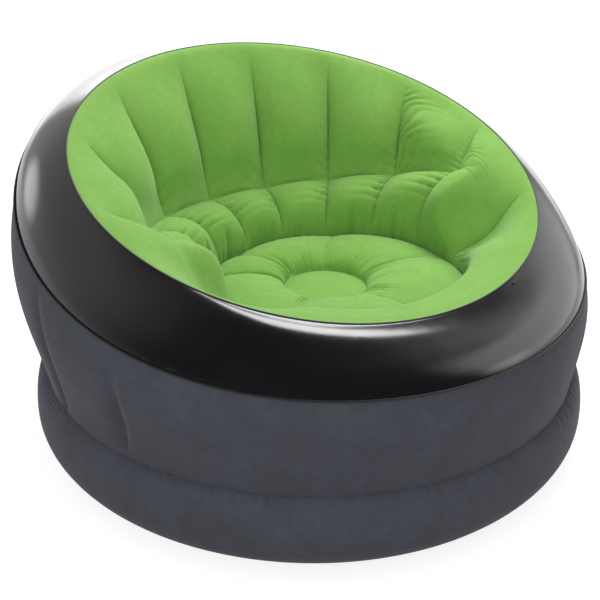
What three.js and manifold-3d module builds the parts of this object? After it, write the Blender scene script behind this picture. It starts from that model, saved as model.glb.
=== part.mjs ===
// Inflatable lounge chair: a drum of welded vinyl sheet with a scooped, channelled seat.
// Millimetres, +Z up. The chair faces -Y and the origin is the centre of the base on the floor.
// Angles run anticlockwise seen from above: 0 is the right side (+X) and 90 degrees is the back.

import Module from "manifold-3d";
import * as THREE from "three";
import { mergeVertices } from "three/addons/utils/BufferGeometryUtils.js";

// Sheet thicknesses and the clearances between pieces
const flockedSheet = 1.2;
const glossSheet = 0.8;
const webSheet = 0.9;
const weldGap = 0.6;
const lipGap = 1.4;
const breakGap = 1.4;
const seatGap = 1.2;
const clearance = 0.3;

// Base ring, the wide foot
const baseRadius = 552;
const baseBulgeHeight = 81;
const baseFootInset = 85;

// Waist, the drawn-in weld line above the base ring
const waistInset = 27;
const waistHeight = 160;
const waistBackRise = 5;
const waistWebWidth = 110;

// Rim seam, the dark weld line between the flocked wall and the gloss rim
const rimSeamSideOverhang = 23;
const rimSeamDepthInset = 8;
const rimSeamBackShift = 1;
const rimSeamHeight = 457;
const rimSeamBackRise = 166;
const rimSeamSideDip = 27;
const rimBeadRadius = 1.8;

// Lip, the weld line where the gloss rim turns over into the seat
const lipSideInset = 86;
const lipDepthInset = 127;
const lipFrontShift = 13;
const lipAboveSeam = 82;
const lipBackRise = 155;
const lipRoll = 45;
const lipBeadRadius = 0.9;

// Break line, where the backrest channels fold over the bolster
const breakSideInset = 108;
const breakDepthInset = 75;
const breakFrontShift = 47;
const breakDrop = 73;
const breakBackFall = 83;
const breakSideDip = 11;
const breakScallop = 10;

// Seat edge, the deep weld line round the seat ring, drawn in from the break line
const seatSideInset = 88;
const seatDepthInset = 72;
const seatFrontShift = 85;
const seatEdgeHeight = 300;

// Round centre of the seat
const discRadius = 81;
const discFrontShift = 51;
const discHeight = 290;
const discCrown = 7;

// How far the air pushes each panel out between its welds
const channelCrown = 30;
const channelFullLength = 200;
const bolsterCrown = 24;
const ringCrown = 52;
const ringFlank = 14;
const wallDartDepth = 14;

// Inflation valve, on a flat pad at the back of the base ring
const valvePadInset = 8;
const valvePadHalfHeight = 34;
const valveBoreRadius = 15;
const valveSleeveWall = 3;
const valveSleeveDepth = 14;
const valveCollarWall = 5;
const valveCollarHeight = 8;
const valveFlangeRadius = 30;
const valveFlangeThickness = 2;
const sealThickness = 1.2;
const sealWidth = 2;
const plugHeadRadius = 21;
const plugHeadThickness = 3.2;
const plugBevel = 0.9;
const inletRadius = 8;
const flapThickness = 0.8;
const flapOverlap = 1.6;
const capRadius = 12;
const capThickness = 2.6;
const capSpigotLength = 4.5;
const capSpigotTaper = 0.8;
const capStrapWidth = 9;
const capStrapThickness = 1.2;
const capHingeReach = 19.8;

// Weld lines of the backrest and bolster, in degrees each way from the back centre
const channelWelds = [11.6, 35.9, 61.4, 89.7, 120];

// Weld lines of the seat ring, in degrees anticlockwise from the right side
const ringWelds = [56, 111, 140, 213, 278, 352];

// Directions in which the panels leave their welds, in degrees
const wallFootLean = 81;
const rimSeamLean = -18;
const lipLean = -26;

// How many strips each panel is cut into
const channelColumns = 6;
const frontColumns = 18;
const ringSpanColumns = 8;
const tetherColumns = 24;
const baseRows = 3;
const wallRows = 4;
const rimRows = 6;
const backrestRows = 7;
const bolsterRows = 6;
const ringRows = 6;
const valveSegments = 32;
const flapSegments = 16;
const beadSides = 4;

// Columns by which the two foremost webs lean to the back where they meet the outer wall
const foremostWebLean = 2;

// Shares that shape the curves
const wallFullnessShare = 0.38;
const rimFullnessShare = 0.42;
const backSlopeShare = 0.35;
const shoulderShare = 0.6;
const footShare = 0.55;
const swellPowerShare = 0.6;
const channelStartShare = 0.14;
const channelRootShare = 0.25;
const ringWeldShare = 0.72;
const breakFadeShares = [-0.5, 0];
const seatWeldShare = 0.85;
const frontRollShares = [0.55, 0.2];
const foremostWeldShares = [0.5, 0.56];
const frontFadeShares = [-0.85, -0.5];
const rollOnShare = 0.5;
const dartShares = [0.05, 0.95];
const discRowShares = [1, 0.62];
const padSlackShare = 1.01;
const strapRootShare = 0.5;

const degrees = Math.PI / 180;
const up = new THREE.Vector3(0, 0, 1);

function vec(x, y, z) {
  return new THREE.Vector3(x, y, z);
}

function radial(angle) {
  return vec(Math.cos(angle), Math.sin(angle), 0);
}

function between(from, to, share) {
  return from.clone().lerp(to, share);
}

function smooth(low, high, value) {
  const share = Math.min(1, Math.max(0, (value - low) / (high - low)));
  return share * share * (3 - 2 * share);
}

// Cubic curve from start to end, with its two pull points
function bend(start, pullStart, pullEnd, end, share) {
  const first = between(between(start, pullStart, share), between(pullStart, pullEnd, share), share);
  const last = between(between(pullStart, pullEnd, share), between(pullEnd, end, share), share);
  return between(first, last, share);
}

// An oval weld line that can rise to the back and dip at the sides
function oval(size, angle) {
  const height = size.height + size.backRise * Math.sin(angle) - size.sideDip * Math.cos(2 * angle);
  return vec(size.side * Math.cos(angle), size.shift + size.depth * Math.sin(angle), height);
}

const waistRadius = baseRadius - waistInset;
const rimSeamSide = waistRadius + rimSeamSideOverhang;
const rimSeamDepth = waistRadius - rimSeamDepthInset;
const lipSide = rimSeamSide - lipSideInset;
const lipDepth = rimSeamDepth - lipDepthInset;
const lipHeight = rimSeamHeight + lipAboveSeam;
const breakSide = lipSide - breakSideInset;
const breakDepth = lipDepth - breakDepthInset;
const seatSide = breakSide - seatSideInset;
const seatDepth = breakDepth - seatDepthInset;

function waist(angle) {
  const size = { side: waistRadius, depth: waistRadius, shift: 0, height: waistHeight };
  return oval({ ...size, backRise: waistBackRise, sideDip: 0 }, angle);
}

function rimSeam(angle) {
  const size = { side: rimSeamSide, depth: rimSeamDepth, shift: rimSeamBackShift, height: rimSeamHeight };
  return oval({ ...size, backRise: rimSeamBackRise, sideDip: rimSeamSideDip }, angle);
}

function lip(angle, inset = 0, drop = 0) {
  const size = { side: lipSide - inset, depth: lipDepth - inset, shift: -lipFrontShift };
  return oval({ ...size, height: lipHeight - drop, backRise: lipBackRise, sideDip: 0 }, angle);
}

// Where a weld line of the given angle ends on the seat edge. The welds draw together at the back.
function weldFoot(angle) {
  const turn = THREE.MathUtils.euclideanModulo(angle / degrees + 90, 360) - 180;
  const last = channelWelds[channelWelds.length - 1];
  const spread = (180 - last * seatWeldShare) / (180 - last);
  const aside = Math.abs(turn);
  const foot = Math.min(aside, last) * seatWeldShare + Math.max(0, aside - last) * spread;
  return seatEdge((90 + Math.sign(turn) * foot) * degrees);
}

// The break line runs level round the back, dips at the foremost welds and rolls over at the front
function breakLine(angle) {
  const size = { side: breakSide, depth: breakDepth, shift: -breakFrontShift };
  const fall = { height: lipHeight - breakDrop, backRise: -breakBackFall, sideDip: breakSideDip };
  const back = oval({ ...size, ...fall }, angle);
  const front = lip(angle);
  const toFoot = weldFoot(angle).sub(front);
  const drawnIn = smooth(...frontFadeShares, Math.sin(angle));
  const [run, drop] = frontRollShares.map((share, k) => {
    return THREE.MathUtils.lerp(share, foremostWeldShares[k], drawnIn);
  });
  front.add(vec(toFoot.x * run, toFoot.y * run, toFoot.z * drop));
  return between(front, back, backFade(angle));
}

// 1 round the back, where the break line is a crease, and 0 at the front
function backFade(angle) {
  return smooth(...breakFadeShares, Math.sin(angle));
}

function seatEdge(angle, inset = 0) {
  const size = { side: seatSide - inset, depth: seatDepth - inset, shift: -seatFrontShift };
  return oval({ ...size, height: seatEdgeHeight, backRise: 0, sideDip: 0 }, angle);
}

function discEdge(angle, inset = 0) {
  const size = { side: discRadius - inset, depth: discRadius - inset, shift: -discFrontShift };
  return oval({ ...size, height: discHeight, backRise: 0, sideDip: 0 }, angle);
}

// Fullness across a channel, from 0 at a weld to 1 midway
function swell(across) {
  return Math.pow(Math.max(0, Math.sin(Math.PI * across)), swellPowerShare);
}

// Columns round a panel. Each span from one weld to the next is split evenly.
function spanColumns(welds, counts) {
  return welds.flatMap((start, i) => {
    const end = i + 1 < welds.length ? welds[i + 1] : welds[0] + 360;
    return Array.from({ length: counts[i] }, (_, k) => {
      const across = k / counts[i];
      return { angle: (start + (end - start) * across) * degrees, across, isWeld: k === 0 };
    });
  });
}

// The back welds run round the back, and the last span is the one wide panel at the front
const rightWelds = channelWelds.map((turn) => 90 - turn).reverse();
const backWelds = [...rightWelds, ...channelWelds.map((turn) => 90 + turn)];
const backCounts = backWelds.map((_, i) => (i + 1 < backWelds.length ? channelColumns : frontColumns));
const columns = spanColumns(backWelds, backCounts);
const ringColumns = spanColumns(ringWelds, ringWelds.map(() => ringSpanColumns));

function weldColumns(list) {
  return list.flatMap((column, j) => (column.isWeld ? [j] : []));
}

// The column at which the web of a back weld meets the outer wall
function wallColumn(weldColumn) {
  const welds = weldColumns(columns);
  const lean = { [welds[0]]: foremostWebLean, [welds[welds.length - 1]]: -foremostWebLean };
  return weldColumn + (lean[weldColumn] ?? 0);
}

const wallDarts = new Set(weldColumns(columns).map((j) => columns[wallColumn(j)]));

// Normals of a grid of closed loops, pointing out of the chair
function loopNormals(loops) {
  return loops.map((loop, i) => loop.map((point, j) => {
    const along = loop[(j + 1) % loop.length].clone().sub(loop[(j + loop.length - 1) % loop.length]);
    const next = loops[Math.min(i + 1, loops.length - 1)][j];
    const previous = loops[Math.max(i - 1, 0)][j];
    return along.cross(next.clone().sub(previous)).normalize();
  }));
}

function solidFrom(points, triangles) {
  let volume = 0;
  for (const [a, b, c] of triangles) {
    volume += points[a].dot(points[b].clone().cross(points[c]));
  }
  const faces = volume < 0 ? triangles.map(([a, b, c]) => [a, c, b]) : triangles;
  const geometry = new THREE.BufferGeometry();
  geometry.setAttribute("position", new THREE.Float32BufferAttribute(points.flatMap((p) => p.toArray()), 3));
  geometry.setIndex(faces.flat());
  return geometry;
}

// A closed sheet of even thickness behind a grid of loops. A pole closes the last loop.
function sheet(loops, thickness, pole = null) {
  const normals = pole ? loopNormals([...loops, loops[0].map(() => pole)]) : loopNormals(loops);
  const inner = loops.map((loop, i) => loop.map((point, j) => {
    return point.clone().addScaledVector(normals[i][j], -thickness);
  }));
  const count = loops[0].length;
  const rows = loops.length;
  const points = [...loops.flat(), ...inner.flat()];
  const back = rows * count;
  const triangles = [];
  const quad = (a, b, c, d) => triangles.push([a, b, c], [a, c, d]);
  for (let j = 0; j < count; j += 1) {
    const k = (j + 1) % count;
    for (let i = 0; i + 1 < rows; i += 1) {
      const low = i * count;
      const high = low + count;
      quad(low + j, low + k, high + k, high + j);
      quad(back + low + j, back + high + j, back + high + k, back + low + k);
    }
    const top = (rows - 1) * count;
    quad(k, j, back + j, back + k);
    if (pole) {
      triangles.push([top + j, top + k, 2 * back], [back + top + k, back + top + j, 2 * back + 1]);
    } else {
      quad(top + j, top + k, back + top + k, back + top + j);
    }
  }
  if (pole) {
    points.push(pole, pole.clone().addScaledVector(up, -thickness));
  }
  return { geometry: solidFrom(points, triangles), outer: loops, inner };
}

// Rows of a panel, trimmed by half of the gap at each end
function panelRows(rowCount, surface, startGap, endGap) {
  return Array.from({ length: rowCount + 1 }, (_, i) => {
    return columns.map((column) => {
      const point = surface(column, i / rowCount);
      if (i > 0 && i < rowCount) {
        return point;
      }
      const inward = surface(column, i === 0 ? 1 / rowCount : 1 - 1 / rowCount).sub(point);
      return point.addScaledVector(inward.normalize(), (i === 0 ? startGap : endGap) / 2);
    });
  });
}

// A flat web cut to an outline of points, with its thickness to both sides
function web(outline, thickness) {
  const first = outline[0];
  const far = outline.reduce((best, p) => (p.distanceTo(first) > best.distanceTo(first) ? p : best));
  const run = vec(far.x - first.x, far.y - first.y, 0).normalize();
  const side = up.clone().cross(run);
  const flat = outline.map((p) => new THREE.Vector2(p.dot(run), p.z));
  const faces = THREE.ShapeUtils.triangulateShape(flat, []);
  const count = outline.length;
  const front = outline.map((p) => p.clone().addScaledVector(side, thickness / 2));
  const rear = outline.map((p) => p.clone().addScaledVector(side, -thickness / 2));
  const triangles = faces.flatMap(([a, b, c]) => [[a, b, c], [count + a, count + c, count + b]]);
  const turned = THREE.ShapeUtils.isClockWise(flat);
  for (let i = 0; i < count; i += 1) {
    const k = (i + 1) % count;
    const [from, to] = turned ? [k, i] : [i, k];
    triangles.push([from, count + from, count + to], [from, count + to, to]);
  }
  return solidFrom([...front, ...rear], triangles);
}

// A thin bead that runs along a weld, on the outside of the sheets
function bead(line, outward, radius) {
  const loops = Array.from({ length: beadSides }, (_, i) => {
    const turn = (i / beadSides) * 2 * Math.PI;
    return columns.map(({ angle }) => {
      const out = outward(angle);
      const rise = out.clone().cross(vec(-Math.sin(angle), Math.cos(angle), 0));
      return line(angle)
        .addScaledVector(out, radius + clearance + radius * Math.cos(turn))
        .addScaledVector(rise, radius * Math.sin(turn));
    });
  });
  const count = columns.length;
  const triangles = [];
  for (let i = 0; i < beadSides; i += 1) {
    for (let j = 0; j < count; j += 1) {
      const k = (j + 1) % count;
      const next = ((i + 1) % beadSides) * count;
      triangles.push([i * count + j, i * count + k, next + k], [i * count + j, next + k, next + j]);
    }
  }
  return solidFrom(loops.flat(), triangles);
}

// Solids for the cut and the join
const wasm = await Module();
wasm.setup();

function solidOf(geometry) {
  const plain = geometry.clone();
  plain.deleteAttribute("normal");
  plain.deleteAttribute("uv");
  const merged = mergeVertices(plain);
  return new wasm.Manifold(new wasm.Mesh({
    numProp: 3,
    vertProperties: new Float32Array(merged.attributes.position.array),
    triVerts: new Uint32Array(merged.index.array),
  }));
}

function geometryOf(solid) {
  const mesh = solid.getMesh();
  const geometry = new THREE.BufferGeometry();
  geometry.setAttribute("position", new THREE.BufferAttribute(new Float32Array(mesh.vertProperties), 3));
  geometry.setIndex(new THREE.BufferAttribute(new Uint32Array(mesh.triVerts), 1));
  return geometry;
}

const flockedGreen = { color: 0x6db840, roughness: 0.95 };
const flockedCharcoal = { color: 0x44454c, roughness: 0.95 };
const glossBlack = { color: 0x1b1b1e, roughness: 0.12 };
const webVinyl = { color: 0x8b8e92, roughness: 0.5 };
const mouldedGrey = { color: 0x55585c, roughness: 0.4 };
const softBlack = { color: 0x202022, roughness: 0.6 };

function piece(name, geometry, finish) {
  const mesh = new THREE.Mesh(geometry, new THREE.MeshStandardMaterial({ ...finish, metalness: 0 }));
  mesh.name = name;
  return mesh;
}

// Bottom sheet and base ring
const footRadius = baseRadius - baseFootInset;

function bottomSheet() {
  const radius = footRadius - weldGap / 2;
  const edge = columns.map(({ angle }) => radial(angle).multiplyScalar(radius).setZ(flockedSheet));
  return sheet([edge], flockedSheet, vec(0, 0, flockedSheet)).geometry;
}

const valvePadY = baseRadius - valvePadInset;
const padColumnAngle = (2 * channelWelds[0]) / channelColumns;

const padRowTurn = Math.asin(valvePadHalfHeight / baseBulgeHeight) / degrees;

// The pad takes the columns and rows next to the middle of the base ring's back
function isOnValvePad(column, turn) {
  const aside = Math.abs(column.angle / degrees - 90);
  return aside < padColumnAngle * padSlackShare && Math.abs(turn) < padRowTurn * padSlackShare;
}

// Rows of the base ring, as turns from the floor (-90) to the waist (90)
function baseRingTurns() {
  const turns = [];
  for (let i = 0; i < baseRows; i += 1) {
    turns.push(-90 + ((90 - padRowTurn) * i) / (baseRows - 1));
  }
  return [...turns, 0, ...turns.map((turn) => -turn).reverse()];
}

function baseRingPoint(column, turn) {
  const rise = Math.sin(turn * degrees);
  const draw = 1 - Math.cos(turn * degrees);
  const top = waist(column.angle);
  const depth = turn < 0 ? baseFootInset : waistInset;
  const reach = turn < 0 ? baseBulgeHeight : top.z - baseBulgeHeight;
  const height = baseBulgeHeight + reach * rise;
  const point = radial(column.angle).multiplyScalar(baseRadius - depth * draw).setZ(height);
  return isOnValvePad(column, turn) ? point.setY(valvePadY) : point;
}

function baseRingLoops() {
  const turns = baseRingTurns();
  const loops = turns.map((turn) => columns.map((column) => baseRingPoint(column, turn)));
  for (const [edge, next] of [[0, 1], [loops.length - 1, loops.length - 2]]) {
    loops[edge].forEach((point, j) => {
      const inward = loops[next][j].clone().sub(point);
      point.addScaledVector(inward.setZ(0).normalize(), weldGap / 2);
    });
  }
  return loops;
}

// Flocked wall, drawn in where the inner webs are welded to it
function wallPoint(column, share) {
  const { angle } = column;
  const out = radial(angle);
  const foot = waist(angle);
  const top = rimSeam(angle);
  const reach = foot.distanceTo(top) * wallFullnessShare;
  const footPull = out.clone().multiplyScalar(Math.cos(wallFootLean * degrees));
  footPull.z = Math.sin(wallFootLean * degrees);
  const topPull = rimSeamRise(angle);
  const pullFoot = foot.clone().addScaledVector(footPull, reach);
  const pullTop = top.clone().addScaledVector(topPull, -reach);
  const point = bend(foot, pullFoot, pullTop, top, share);
  if (wallDarts.has(column)) {
    const [low, high] = dartShares;
    const along = Math.sin(Math.PI * Math.min(1, Math.max(0, (share - low) / (high - low))));
    point.addScaledVector(out, -wallDartDepth * along);
  }
  return point;
}

// Direction in which wall and rim run up through the rim seam
function rimSeamRise(angle) {
  const rise = radial(angle).multiplyScalar(Math.sin(rimSeamLean * degrees));
  rise.z = Math.cos(rimSeamLean * degrees);
  return rise;
}

function rimSeamOut(angle) {
  const out = radial(angle).multiplyScalar(Math.cos(rimSeamLean * degrees));
  out.z = -Math.sin(rimSeamLean * degrees);
  return out;
}

function rimPoint(column, share) {
  const { angle } = column;
  const foot = rimSeam(angle);
  const top = lip(angle);
  const reach = foot.distanceTo(top);
  const topPull = radial(angle).multiplyScalar(Math.cos(lipLean * degrees));
  topPull.z = Math.sin(lipLean * degrees);
  const pullFoot = foot.clone().addScaledVector(rimSeamRise(angle), reach * wallFullnessShare);
  const pullTop = top.clone().addScaledVector(topPull, reach * rimFullnessShare);
  return bend(foot, pullFoot, pullTop, top, share);
}

// Direction square to a panel's slope, towards the sitter
function panelCrownWay(from, to, angle) {
  const out = radial(angle);
  const slope = to.clone().sub(from);
  const run = slope.dot(out);
  const way = out.multiplyScalar(slope.z);
  way.z = -run;
  return way.normalize();
}

function scallopedBreak(column) {
  const line = breakLine(column.angle);
  const way = panelCrownWay(lip(column.angle), line, column.angle);
  return line.addScaledVector(way, breakScallop * swell(column.across) * backFade(column.angle));
}

function channelPoint(column, share) {
  const { angle, across } = column;
  const top = lip(angle);
  const foot = scallopedBreak(column);
  const span = top.distanceTo(foot);
  const size = Math.min(1, span / channelFullLength);
  const pullTop = top.clone().addScaledVector(radial(angle), -lipRoll * size);
  const pullFoot = foot.clone().addScaledVector(top.clone().sub(foot), backSlopeShare);
  const along = Math.sin(Math.PI * smooth(channelStartShare, 1 + channelStartShare, share));
  const crown = channelCrown * size * swell(across) * Math.max(0, along);
  const fullness = crown * smooth(0, channelRootShare, 1 - share);
  const point = bend(top, pullTop, pullFoot, foot, share);
  return point.addScaledVector(panelCrownWay(top, foot, angle), fullness);
}

function bolsterPoint(column, share) {
  const { angle, across } = column;
  const top = scallopedBreak(column);
  const foot = weldFoot(angle);
  const drop = vec(0, 0, top.z - foot.z);
  const shoulder = foot.clone().sub(top).setZ(0).multiplyScalar(shoulderShare);
  const rollOn = top.clone().sub(lip(angle)).multiplyScalar(rollOnShare);
  const pullTop = top.clone().add(between(rollOn, shoulder, backFade(angle)));
  const pullFoot = foot.clone().addScaledVector(drop, footShare);
  const crown = bolsterCrown * swell(across) * Math.sin(Math.PI * share) * (1 - share * share);
  const point = bend(top, pullTop, pullFoot, foot, share);
  return point.addScaledVector(panelCrownWay(top, foot, angle), crown);
}

// Seat ring: a padded hoop drawn down at its radial welds
function ringLoops() {
  const loops = [];
  for (let i = 0; i <= ringRows; i += 1) {
    loops.push(ringColumns.map(({ angle, across }) => {
      const crown = ringCrown * (ringWeldShare + (1 - ringWeldShare) * swell(across));
      const outer = seatEdge(angle, seatGap);
      const inner = discEdge(angle);
      const pullOuter = outer.clone().addScaledVector(radial(angle), -ringFlank).addScaledVector(up, crown);
      const pullInner = inner.clone().addScaledVector(up, crown);
      return bend(outer, pullOuter, pullInner, inner, i / ringRows);
    }));
  }
  return loops;
}

function discSheet() {
  const loops = discRowShares.map((share) => {
    return ringColumns.map(({ angle }) => {
      const edge = discEdge(angle, seatGap);
      const centre = vec(0, -discFrontShift, discHeight + discCrown);
      const point = between(centre, edge, share);
      point.z = discHeight + discCrown * (1 - share * share);
      return point;
    });
  });
  return sheet(loops, flockedSheet, vec(0, -discFrontShift, discHeight + discCrown)).geometry;
}

const baseRing = sheet(baseRingLoops(), flockedSheet);
const wall = sheet(panelRows(wallRows, wallPoint, weldGap, weldGap), flockedSheet);
const rim = sheet(panelRows(rimRows, rimPoint, weldGap, lipGap), glossSheet);
const backrest = sheet(panelRows(backrestRows, channelPoint, lipGap, breakGap), flockedSheet);
const bolster = sheet(panelRows(bolsterRows, bolsterPoint, breakGap, weldGap), flockedSheet);
const seatRing = sheet(ringLoops(), flockedSheet);

// A point just inside a sheet, on the air side
function behind(skin, row, column) {
  const inner = skin.inner[row][column];
  const way = inner.clone().sub(skin.outer[row][column]).normalize();
  return inner.clone().addScaledVector(way, clearance);
}

// Back webs tie each weld of the backrest and bolster to the outer wall
function backWeb(column) {
  const outline = [];
  for (let row = Math.ceil(channelStartShare * backrestRows); row <= backrestRows; row += 1) {
    outline.push(behind(backrest, row, column));
  }
  for (let row = 0; row <= bolsterRows; row += 1) {
    outline.push(behind(bolster, row, column));
  }
  for (let row = 1; row < wallRows; row += 1) {
    outline.push(behind(wall, row, wallColumn(column)));
  }
  return web(outline, webSheet);
}

// Seat webs tie the radial welds of the seat ring to the bottom sheet
function seatWeb(column) {
  const outline = [];
  for (let row = 1; row < ringRows; row += 1) {
    outline.push(behind(seatRing, row, column));
  }
  const floor = flockedSheet + clearance;
  outline.push(discEdge(ringColumns[column].angle).setZ(floor));
  outline.push(outline[0].clone().setZ(floor));
  return web(outline, webSheet);
}

function centreTether() {
  const floor = flockedSheet + clearance;
  const loops = [floor, discHeight - flockedSheet - clearance].map((height) => {
    return Array.from({ length: tetherColumns }, (_, j) => {
      return discEdge((j / tetherColumns) * 2 * Math.PI, seatGap).setZ(height);
    });
  });
  return sheet(loops, webSheet).geometry;
}

function waistWeb() {
  const edge = flockedSheet + clearance;
  const loops = [edge, edge + waistWebWidth].map((inset) => columns.map(({ angle }) => {
    return waist(angle).addScaledVector(radial(angle), -inset).addScaledVector(up, webSheet / 2);
  }));
  return sheet(loops, webSheet).geometry;
}

// Valve parts are turned about the valve's axis, which points out of the back along +Y
function turned(profile) {
  const points = profile.map(([radius, height]) => new THREE.Vector2(radius, height));
  return new THREE.LatheGeometry(points, valveSegments);
}

// A turned ring, whose profile closes on itself
function turnedRing(profile) {
  return turned([...profile, profile[0]]);
}

const sleeveRadius = valveBoreRadius + valveSleeveWall;
const collarRadius = valveBoreRadius + valveCollarWall;
const collarTop = clearance + valveCollarHeight;
const sealBottom = collarTop + clearance;
const plugHeadBottom = sealBottom + sealThickness + clearance;
const plugHeadTop = plugHeadBottom + plugHeadThickness;
const plugFoot = clearance - valveSleeveDepth + valveFlangeThickness;
const plugRadius = valveBoreRadius - clearance;

function valveBase() {
  return turnedRing([
    [valveBoreRadius, -valveSleeveDepth],
    [sleeveRadius, -valveSleeveDepth],
    [sleeveRadius, clearance],
    [valveFlangeRadius, clearance],
    [valveFlangeRadius, clearance + valveFlangeThickness / 2],
    [valveFlangeRadius - valveFlangeThickness, clearance + valveFlangeThickness],
    [collarRadius, clearance + valveFlangeThickness],
    [collarRadius, collarTop],
    [valveBoreRadius, collarTop],
  ]);
}

function valveSeal() {
  const middle = (valveBoreRadius + collarRadius) / 2;
  return turnedRing([
    [middle - sealWidth / 2, sealBottom],
    [middle + sealWidth / 2, sealBottom],
    [middle + sealWidth / 2, sealBottom + sealThickness],
    [middle - sealWidth / 2, sealBottom + sealThickness],
  ]);
}

function valvePlug() {
  return turnedRing([
    [inletRadius, plugFoot],
    [plugRadius, plugFoot],
    [plugRadius, plugHeadBottom],
    [plugHeadRadius, plugHeadBottom],
    [plugHeadRadius, plugHeadTop - plugBevel],
    [plugHeadRadius - plugBevel, plugHeadTop],
    [inletRadius, plugHeadTop],
  ]);
}

const flapTop = plugFoot - clearance;

function checkFlap() {
  const flap = new THREE.CylinderGeometry(1, 1, flapThickness, flapSegments);
  const radius = inletRadius + flapOverlap;
  flap.scale(radius, 1, radius);
  return flap.translate(0, flapTop - flapThickness / 2, 0);
}

function valveCap() {
  const seat = plugHeadTop + clearance;
  const root = inletRadius - clearance;
  const cap = turned([
    [0, seat - capSpigotLength],
    [root - capSpigotTaper, seat - capSpigotLength],
    [root, seat],
    [capRadius, seat],
    [capRadius, seat + capThickness],
    [0, seat + capThickness],
  ]);
  const strapRoot = capRadius * strapRootShare;
  const strap = new THREE.BoxGeometry(capStrapWidth, capStrapThickness, capHingeReach - strapRoot);
  strap.translate(0, seat + capStrapThickness / 2, (capHingeReach + strapRoot) / 2);
  return geometryOf(solidOf(cap).add(solidOf(strap)));
}

// The base ring with the hole that the valve's sleeve passes through
function baseRingWithHole() {
  const depth = valveSleeveDepth;
  const radius = sleeveRadius + clearance;
  const hole = new THREE.CylinderGeometry(radius, radius, depth, valveSegments);
  hole.translate(0, valvePadY, baseBulgeHeight);
  return geometryOf(solidOf(baseRing.geometry).subtract(solidOf(hole)));
}

const chair = new THREE.Group();
chair.add(piece("bottom_sheet", bottomSheet(), flockedCharcoal));
chair.add(piece("base_ring_skin", baseRingWithHole(), flockedCharcoal));
chair.add(piece("side_wall_skin", wall.geometry, flockedCharcoal));
chair.add(piece("rim_skin", rim.geometry, glossBlack));
chair.add(piece("rim_weld_bead", bead(rimSeam, rimSeamOut, rimBeadRadius), softBlack));
chair.add(piece("lip_weld_bead", bead(lip, () => up.clone(), lipBeadRadius), softBlack));
chair.add(piece("backrest_skin", backrest.geometry, flockedGreen));
chair.add(piece("bolster_skin", bolster.geometry, flockedGreen));
chair.add(piece("seat_ring_skin", seatRing.geometry, flockedGreen));
chair.add(piece("seat_centre_skin", discSheet(), flockedGreen));

weldColumns(columns).forEach((column, i) => {
  chair.add(piece(`back_web_${i + 1}`, backWeb(column), webVinyl));
});
weldColumns(ringColumns).forEach((column, i) => {
  chair.add(piece(`seat_web_${i + 1}`, seatWeb(column), webVinyl));
});
chair.add(piece("centre_tether", centreTether(), webVinyl));
chair.add(piece("waist_web", waistWeb(), webVinyl));

const valve = new THREE.Group();
valve.position.set(0, valvePadY, baseBulgeHeight);
valve.add(piece("valve_base", valveBase(), mouldedGrey));
valve.add(piece("valve_seal", valveSeal(), softBlack));
valve.add(piece("valve_plug", valvePlug(), mouldedGrey));
valve.add(piece("check_flap", checkFlap(), softBlack));
valve.add(piece("valve_cap", valveCap(), mouldedGrey));
chair.add(valve);

export default chair;
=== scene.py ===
import math
from contextlib import contextmanager

import bmesh
import bpy
import numpy as np
from mathutils import Matrix, Vector


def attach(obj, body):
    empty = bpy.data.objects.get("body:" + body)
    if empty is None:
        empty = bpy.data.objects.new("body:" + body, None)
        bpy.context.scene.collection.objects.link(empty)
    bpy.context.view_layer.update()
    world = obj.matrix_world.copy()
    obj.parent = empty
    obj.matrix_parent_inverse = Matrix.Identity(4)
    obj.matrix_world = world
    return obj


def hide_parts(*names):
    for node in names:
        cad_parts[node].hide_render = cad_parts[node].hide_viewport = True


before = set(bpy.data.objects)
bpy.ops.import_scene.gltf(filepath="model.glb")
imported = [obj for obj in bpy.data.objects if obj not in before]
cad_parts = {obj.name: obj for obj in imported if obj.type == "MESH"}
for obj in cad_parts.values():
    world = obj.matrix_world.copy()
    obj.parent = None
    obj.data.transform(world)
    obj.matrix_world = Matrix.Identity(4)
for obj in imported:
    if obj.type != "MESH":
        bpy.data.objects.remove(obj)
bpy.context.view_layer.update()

MM = 0.001
BODY = "chair_body"
FULL = 2 * math.pi
UP = np.array([0, 0, 1])

# Thicknesses of the sheets
FLOCKED, GLOSS, WEB = 1.2, 0.8, 0.9

# Base ring, waist, rim seam and lip
BASE_RADIUS = 552
BULGE_HEIGHT = 81
FOOT_INSET = 85
WAIST_INSET = 27
WAIST_HEIGHT = 160
WAIST_BACK_RISE = 5
WAIST_WEB_WIDTH = 110
WALL_LEAN = math.radians(81)
SEAM_LEAN = math.radians(-18)
LIP_LEAN = math.radians(-26)
WALL_FULLNESS = 0.38
RIM_FULLNESS = 0.42
RIM_SHOULDER = 30

# Wall darts. Swing and lean are degrees, at a dart's foot and of the two at the front. The
# powers set how low a dart is deepest and the shape of its section.
DART_DEPTH = 15
DART_WIDTH = 12
DART_SWING = 2.5
DART_LEAN = 10.1
DART_LOWNESS = 0.5
DART_SECTION = 1.2

# The short lap weld beside the lip: turns in degrees and rows of the rim, end to end
LAP_TURNS = (298.5, 287.5)
LAP_ROWS = (0.985, 0.93)

# Seat
CHANNEL_WELDS = [11.6, 35.9, 61.4, 89.7, 120]
RING_WELDS = [56, 111, 140, 213, 278, 352]
CHANNEL_CROWN = 30
FULL_CHANNEL = 200
LIP_ROLL = 45
SCALLOP = 10
FRONT_ARCH = 13
SIDE_ARCH = 32
BOLSTER_CROWN = 24
RING_CROWN = 52
RING_FLANK = 14
DISC_CROWN = 7
DISC_RADIUS = 81
DISC_SHIFT = -51
DISC_HEIGHT = 290

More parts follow.
